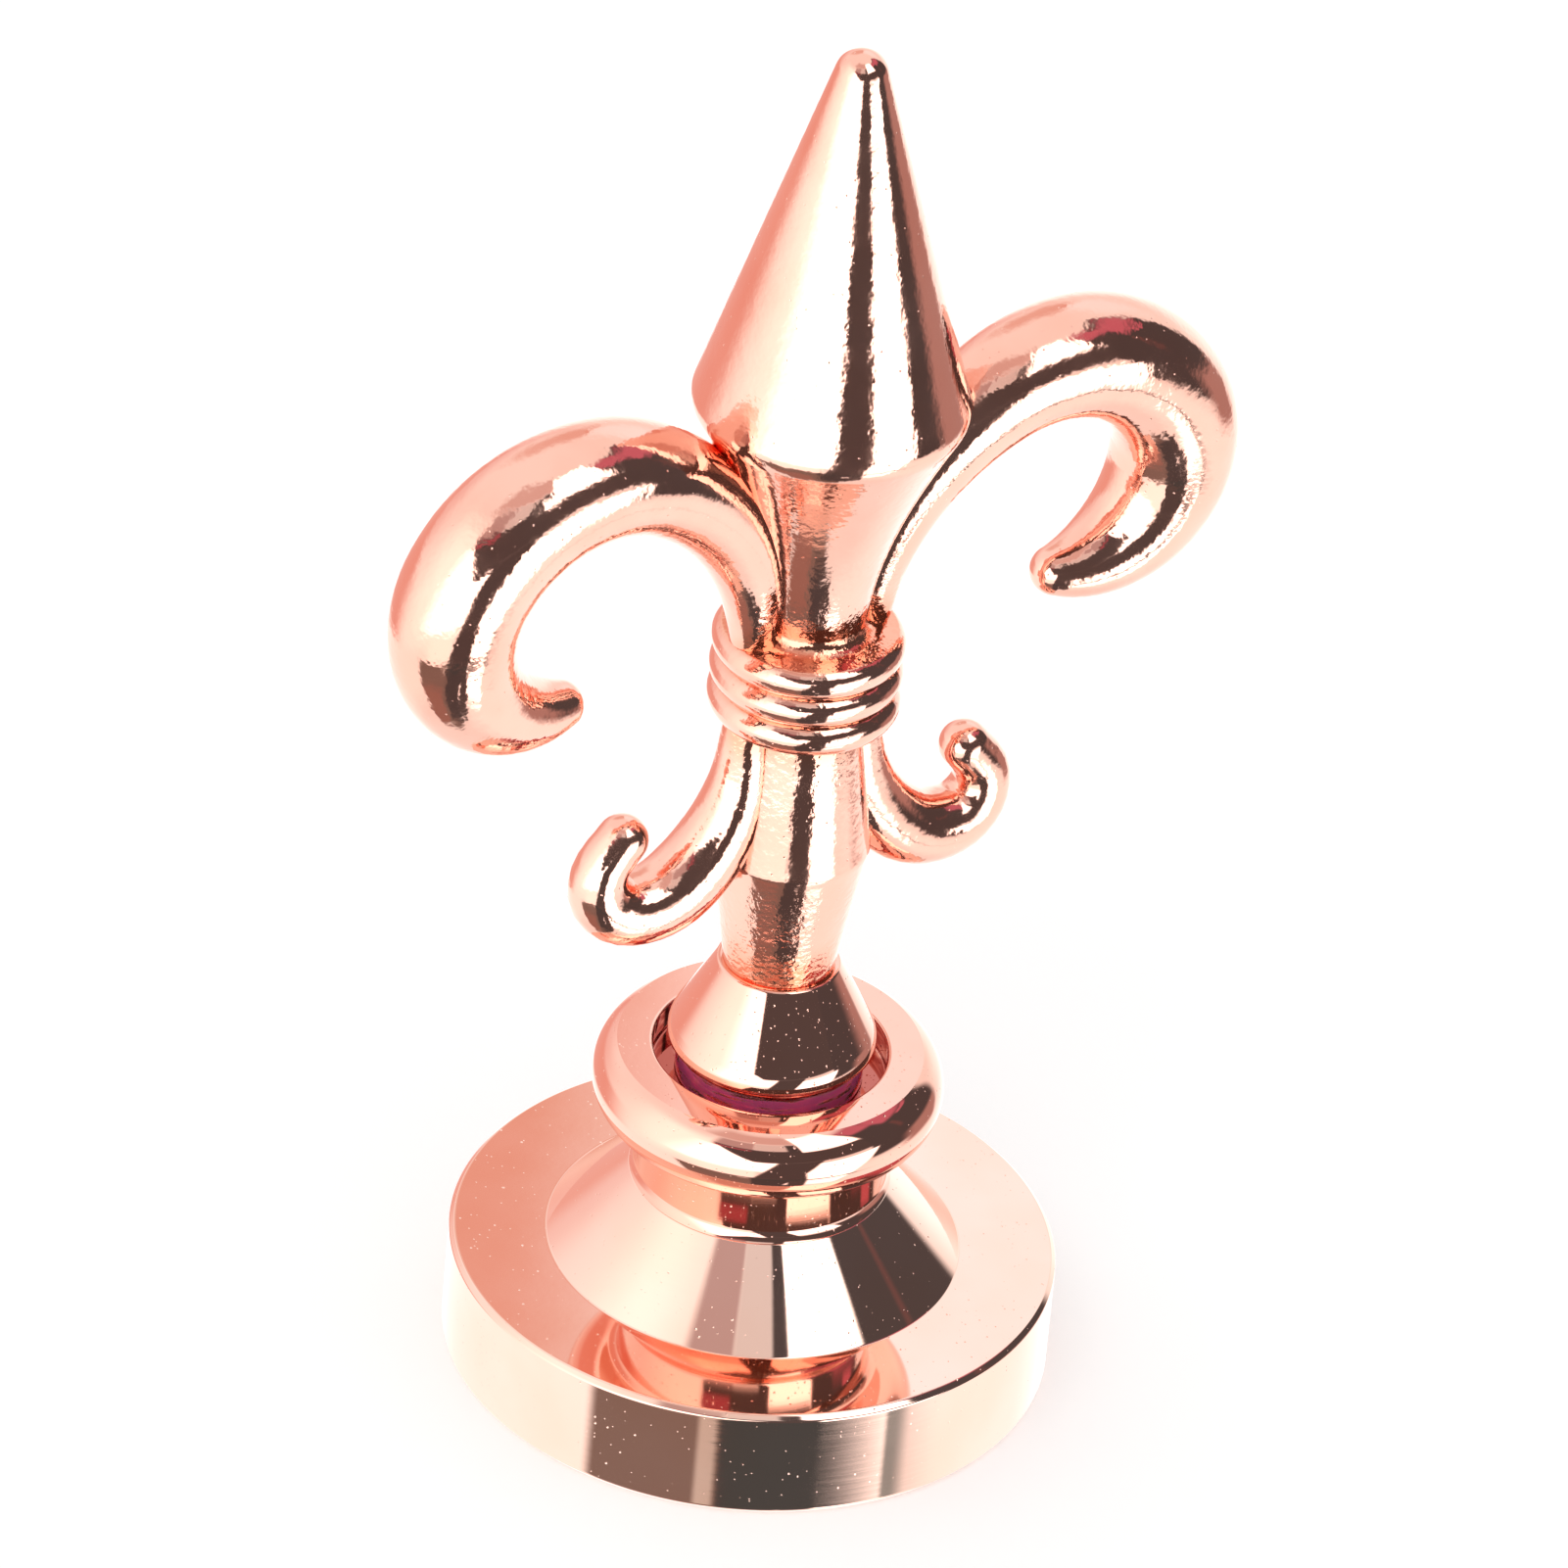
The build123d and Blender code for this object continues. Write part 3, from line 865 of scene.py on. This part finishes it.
def webbed(piece, neighbours):
    """Fills the corners where a casting meets its neighbours with soft webs, on its side of the fleur."""
    bpy.ops.object.select_all(action="DESELECT")
    for part in (piece, *neighbours):
        part.select_set(True)
    bpy.context.view_layer.objects.active = piece
    bpy.ops.object.duplicate()
    bpy.ops.object.join()
    fill = bpy.context.object
    fill.data.remesh_voxel_size = web_grain
    bpy.ops.object.voxel_remesh()
    soften = fill.modifiers.new("soften", "SMOOTH")
    soften.factor = 0.5
    soften.iterations = web_rounds
    bpy.ops.object.modifier_apply(modifier=soften.name)
    draw_in = fill.modifiers.new("draw_in", "DISPLACE")
    draw_in.mid_level = 0
    draw_in.strength = -web_draw_in
    bpy.ops.object.modifier_apply(modifier=draw_in.name)
    bpy.ops.object.mode_set(mode="EDIT")
    bpy.ops.mesh.select_all(action="SELECT")
    bpy.ops.mesh.bisect(plane_co=(web_draw_in, 0, 0), plane_no=(1, 0, 0), use_fill=True, clear_inner=True)
    bpy.ops.object.mode_set(mode="OBJECT")
    boolean(piece, fill, "UNION")
    bpy.data.objects.remove(fill)
    for part in neighbours:
        boolean(piece, part, "DIFFERENCE")


def mirrored(piece, name):
    """A copy on the other side of the fleur, with its own mesh."""
    bpy.ops.object.select_all(action="DESELECT")
    piece.select_set(True)
    bpy.context.view_layer.objects.active = piece
    bpy.ops.object.duplicate()
    copy = bpy.context.object
    copy.name = name
    bpy.ops.object.mode_set(mode="EDIT")
    bpy.ops.mesh.select_all(action="SELECT")
    bpy.ops.transform.resize(value=(-1, 1, 1), center_override=(0, 0, 0))
    bpy.ops.mesh.normals_make_consistent(inside=False)
    bpy.ops.object.mode_set(mode="OBJECT")
    return copy


petal_right = bent_bar(
    "right_petal", Vector((side_x, 0, band_top)), Vector((0, 0, 1)), petal_runs, 1,
    petal_root_r, petal_belly_r, petal_tip_r, petal_belly_at, petal_fall,
)
petal_right.data.materials.append(cast_rose_plating)
webbed(petal_right, (centre, band))
petal_left = mirrored(petal_right, "left_petal")
for petal, node in ((petal_right, "petal_right"), (petal_left, "petal_left")):
    smooth(petal, 40)
    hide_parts(node)
    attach(petal, "handle")


# Lower curls: slim cast bars that drop from the band beside the stem and hook up at the tip.
# They lie against the stem's upper half and leave it at the ridge.
curl_runs = [(1.8 * mm, 0), (6.6 * mm, 52), (3.2 * mm, 46), (1.75 * mm, 122), (0.9 * mm, 0)]
curl_root_r = 0.95 * mm
curl_belly_r = 1.63 * mm
curl_tip_r = 1.06 * mm
curl_belly_at = 0.54
curl_fall = (2, 2)
curl_right = bent_bar(
    "right_curl", Vector((side_x, 0, band_low)), Vector((0, 0, -1)), curl_runs, -1,
    curl_root_r, curl_belly_r, curl_tip_r, curl_belly_at, curl_fall,
)
curl_right.data.materials.append(cast_rose_plating)
webbed(curl_right, (stem, band))
curl_left = mirrored(curl_right, "left_curl")
for curl, node in ((curl_right, "curl_right"), (curl_left, "curl_left")):
    smooth(curl, 40)
    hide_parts(node)
    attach(curl, "handle")


# Camera: a long lens at the front left, looking down on the stamp and turned a little on its own axis.
camera_distance = 0.56664
camera_side = math.radians(34.40)
camera_rise = math.radians(36.212)
camera_heading = math.radians(34.344)
camera_pitch = math.radians(33.922)
camera_roll = math.radians(5.335)
photo_width = 1601
focal_pixels = 14000
lens = bpy.data.cameras.new("camera")
lens.sensor_width = 36
lens.lens = lens.sensor_width * focal_pixels / photo_width
camera = bpy.data.objects.new("camera", lens)
bpy.context.scene.collection.objects.link(camera)
place = Vector((
    -math.sin(camera_side) * math.cos(camera_rise),
    -math.cos(camera_side) * math.cos(camera_rise),
    math.sin(camera_rise),
)) * camera_distance
camera.matrix_world = (
    Matrix.Translation(place)
    @ Matrix.Rotation(-camera_heading, 4, "Z")
    @ Matrix.Rotation(math.pi / 2 - camera_pitch, 4, "X")
    @ Matrix.Rotation(camera_roll, 4, "Z")
)
bpy.context.scene.camera = camera


# Studio: a white tent round the stamp with three softboxes in front and dark cards between them.
# Panels are given in degrees: round from the camera to its right, above the horizon, and their soft edges.
mirror_bounces = 12
tent_level = 1.1
fill_level = 0.85
world = bpy.data.worlds.new("tent")
bpy.context.scene.world = world
world.use_nodes = True
world.cycles.sampling_method = "NONE"
bpy.context.scene.cycles.glossy_bounces = mirror_bounces
tent = world.node_tree
background = tent.nodes["Background"]
direction = tent.nodes.new("ShaderNodeTexCoord").outputs["Generated"]
to_camera = Vector((-math.sin(camera_side), -math.cos(camera_side), 0))
to_right = Vector((math.cos(camera_side), -math.sin(camera_side), 0))


def along(axis):
    """How far a direction points along an axis."""
    product = tent.nodes.new("ShaderNodeVectorMath")
    product.operation = "DOT_PRODUCT"
    tent.links.new(direction, product.inputs[0])
    product.inputs[1].default_value = axis
    return product.outputs["Value"]


def turn_value(operation, first, second=None):
    """An angle worked out from one or two values."""
    angle = tent.nodes.new("ShaderNodeMath")
    angle.operation = operation
    tent.links.new(first, angle.inputs[0])
    if second:
        tent.links.new(second, angle.inputs[1])
    return angle.outputs["Value"]


round_from_camera = turn_value("ARCTAN2", along(to_right), along(to_camera))
round_from_back = turn_value("ARCTAN2", along(to_right), along(-to_camera))
above_horizon = turn_value("ARCSINE", along(Vector((0, 0, 1))))


def inside(angle, low, high, low_edge, high_edge):
    """1 between two angles in degrees, falling to 0 across soft edges."""
    rise = span(tent, angle, (math.radians(low - low_edge), math.radians(low + low_edge)), (0, 1))
    fall = span(tent, angle, (math.radians(high - high_edge), math.radians(high + high_edge)), (1, 0))
    return combine(tent, "MULTIPLY", rise, fall)


def blend_colour(share, under, over):
    """Two colours mixed; either may be plain or come from other nodes."""
    mix = tent.nodes.new("ShaderNodeMix")
    mix.data_type = "RGBA"
    tent.links.new(share, mix.inputs["Factor"])
    for colour, socket in ((under, mix.inputs["A"]), (over, mix.inputs["B"])):
        if isinstance(colour, bpy.types.NodeSocket):
            tent.links.new(colour, socket)
        else:
            socket.default_value = (*colour, 1)
    return mix.outputs["Result"]


softbox = (2.8, 2.8, 2.8)
table_glow = (1.36, 1.36, 1.36)
back_glow = (1.5, 1.5, 1.52)
side_glow = (1.66, 1.66, 1.62)
side_pale = (1.2, 1.29, 1.37)
limb_wall = (1, 0.77, 0.75)
low_limb = (0.92, 0.52, 0.46)
back_wall = (0.92, 0.65, 0.59)
back_strip = (0.86, 0.47, 0.39)
ceiling = (0.78, 0.6, 0.57)
mauve_card = (0.57, 0.45, 0.45)
pale_card = (0.82, 0.82, 0.82)
brown_card = (0.1, 0.09, 0.092)
black_card = (0.09, 0.084, 0.088)
rust_card = (0.48, 0.31, 0.29)
crimson_card = (0.62, 0.19, 0.27)
red_card = (0.45, 0.12, 0.16)
dusky_card = (0.17, 0.1, 0.1)
grey_card = (0.25, 0.195, 0.175)
orange_card = (0.36, 0.21, 0.18)
lit_gap = (0.66, 0.62, 0.57)
dull_gap = (0.33, 0.38, 0.38)
wall_shade = (0.072, 0.086, 0.09)
panels = [
    ((-200, 200), (-60, -20), (1, 1, 10, 8), 0, table_glow),
    ((-172, -120), (-22, 16), (6, 16, 8, 12), 0, limb_wall),
    ((-172, -104), (-30, 0), (6, 18, 3, 5), 0, low_limb),
    ((-84, -30), (-24, 44), (30, 10, 10, 10), 0, side_glow),
    ((-50, 28), (55, 74), (12, 4, 3, 4), 0, ceiling),
    ((-34, -5), (36, 54), (4, 2, 4, 2), 0, mauve_card),
    ((-5, 19), (40, 54), (2, 2, 2, 2), 0, pale_card),
    ((-40, -2), (-33, -14), (10, 2, 2, 4), 0, side_glow),
    ((-48, 8), (-15, 33), (14, 1.5, 3, 2), -0.35, softbox),
    ((5, 105), (9, 39), (1.5, 2, 1.5, 1.5), 1, brown_card),
    ((8.5, 36.8), (-74, 10), (1.5, 1.5, 6, 1.5), -0.35, brown_card),
    ((19, 29), (36, 54), (1.5, 1.5, 3, 2), 0, black_card),
    ((72, 133), (-16, 60), (1.5, 3, 3, 2), 0, black_card),
    ((100, 133), (-24, -3), (8, 4, 4, 4), 0, rust_card),
    ((74, 98), (48, 62), (3, 3, 3, 4), 0, crimson_card),
    ((97, 131), (38, 56), (3, 4, 3, 4), 0, crimson_card),
    ((97, 100), (14, 32), (1.5, 1.5, 4, 2), 0, dusky_card),
    ((111, 124), (34.2, 36.8), (2, 3, 0.6, 0.6), 0, crimson_card),
    ((-57, 24), (-78, -34), (3, 3, 4, 1), 0, grey_card),
    ((-57, -14), (-78, -50), (5, 4, 4, 5), 0, orange_card),
    ((-5, 26), (-70, -34), (1.5, 2, 6, 1), 0, black_card),
    ((-13.5, -6.5), (-38.2, -35.7), (1.5, 1.5, 0.3, 0.3), 0, lit_gap),
    ((-33, -7), (34.2, 37), (2, 2, 0.5, 0.8), 0, red_card),
    ((36.3, 75.5), (-50, 3.5), (1.5, 1.5, 3, 1), -0.35, softbox),
    ((12, 25.5), (-64, -20), (1.5, 1.5, 3, 2), 0.19, brown_card),
    ((-225, -161), (-38.2, -35.7), (1.5, 29, 0.3, 0.3), 6, wall_shade),
    ((59, 66.5), (-38.2, -35.7), (1.5, 4, 0.3, 0.3), 0, dull_gap),
    ((29, 71), (35.3, 70), (1, 1.5, 1.5, 2), 0, softbox),
]
far_panels = [
    ((-14, 40), (-50, 6), (6, 12, 10, 10), 0, back_glow),
    ((-34, -1), (24, 48), (10, 2.5, 8, 8), 0, back_wall),
    ((3, 40), (24, 48), (2.5, 12, 8, 8), 0, side_pale),
    ((-3, -0.5), (33, 38.5), (1.2, 0.9, 1, 1), 0, back_strip),
    ((-0.4, 4), (33, 38.5), (0.9, 2, 1, 1), 0, side_pale),
]


def hang(panel, under, angle):
    """The surroundings with one more panel in front of them."""
    sideways, upward, edges, lean, colour = panel
    if lean:
        angle = combine(tent, "ADD", angle, combine(tent, "MULTIPLY", above_horizon, lean))
    share = combine(
        tent, "MULTIPLY",
        inside(angle, *sideways, *edges[:2]),
        inside(above_horizon, *upward, *edges[2:]),
    )
    return blend_colour(share, under, colour)


surroundings = (tent_level,) * 3
for panel in panels:
    surroundings = hang(panel, surroundings, round_from_camera)
for panel in far_panels:
    surroundings = hang(panel, surroundings, round_from_back)
path = tent.nodes.new("ShaderNodeLightPath")
mirror_ray = combine(tent, "MAXIMUM", path.outputs["Is Glossy Ray"], path.outputs["Is Transmission Ray"])
seen = blend_colour(mirror_ray, (fill_level,) * 3, surroundings)
seen = blend_colour(path.outputs["Is Camera Ray"], seen, (1, 1, 1))
tent.links.new(seen, background.inputs["Color"])

lamp_size = 0.8
lamp_power = 2.5
lamp_place = Vector((-0.7, -0.5, 1.1))
lamp = bpy.data.lights.new("key_lamp", "AREA")
lamp.size = lamp_size
lamp.energy = lamp_power
key_lamp = bpy.data.objects.new("key_lamp", lamp)
bpy.context.scene.collection.objects.link(key_lamp)
key_lamp.location = lamp_place
key_lamp.rotation_euler = (-lamp_place).to_track_quat("-Z", "Y").to_euler()
key_lamp.visible_glossy = False


# Floor: a plain pale table top, white to the camera, that keeps the stamp's soft shadow.
floor_size = 6
floor_gap = 0.05 * mm
floor_white = (0.8, 0.8, 0.8, 1)
floor_lift = 0.3
floor_roughness = 0.9
bpy.ops.object.select_all(action="DESELECT")
bpy.ops.mesh.primitive_plane_add(size=floor_size, location=(0, 0, -floor_gap))
floor = bpy.context.object
floor.name = "floor"
floor.visible_glossy = False
floor_paint = bpy.data.materials.new("pale_floor")
floor_paint.use_nodes = True
floor_tree = floor_paint.node_tree
floor_shader = floor_tree.nodes["Principled BSDF"]
floor_shader.inputs["Base Color"].default_value = floor_white
floor_shader.inputs["Roughness"].default_value = floor_roughness
floor_shader.inputs["Specular IOR Level"].default_value = 0
floor_shader.inputs["Emission Color"].default_value = (1, 1, 1, 1)
floor_path = floor_tree.nodes.new("ShaderNodeLightPath")
lift = combine(floor_tree, "MULTIPLY", floor_path.outputs["Is Camera Ray"], floor_lift)
floor_tree.links.new(lift, floor_shader.inputs["Emission Strength"])
from_below = floor_tree.nodes.new("ShaderNodeNewGeometry").outputs["Backfacing"]
see_through = floor_tree.nodes.new("ShaderNodeBsdfTransparent")
one_sided = floor_tree.nodes.new("ShaderNodeMixShader")
hidden = combine(floor_tree, "MULTIPLY", from_below, floor_path.outputs["Is Camera Ray"])
floor_tree.links.new(hidden, one_sided.inputs["Fac"])
floor_tree.links.new(floor_shader.outputs["BSDF"], one_sided.inputs[1])
floor_tree.links.new(see_through.outputs["BSDF"], one_sided.inputs[2])
floor_tree.links.new(one_sided.outputs["Shader"], floor_tree.nodes["Material Output"].inputs["Surface"])
floor.data.materials.append(floor_paint)

bpy.context.scene.view_settings.view_transform = "Standard"
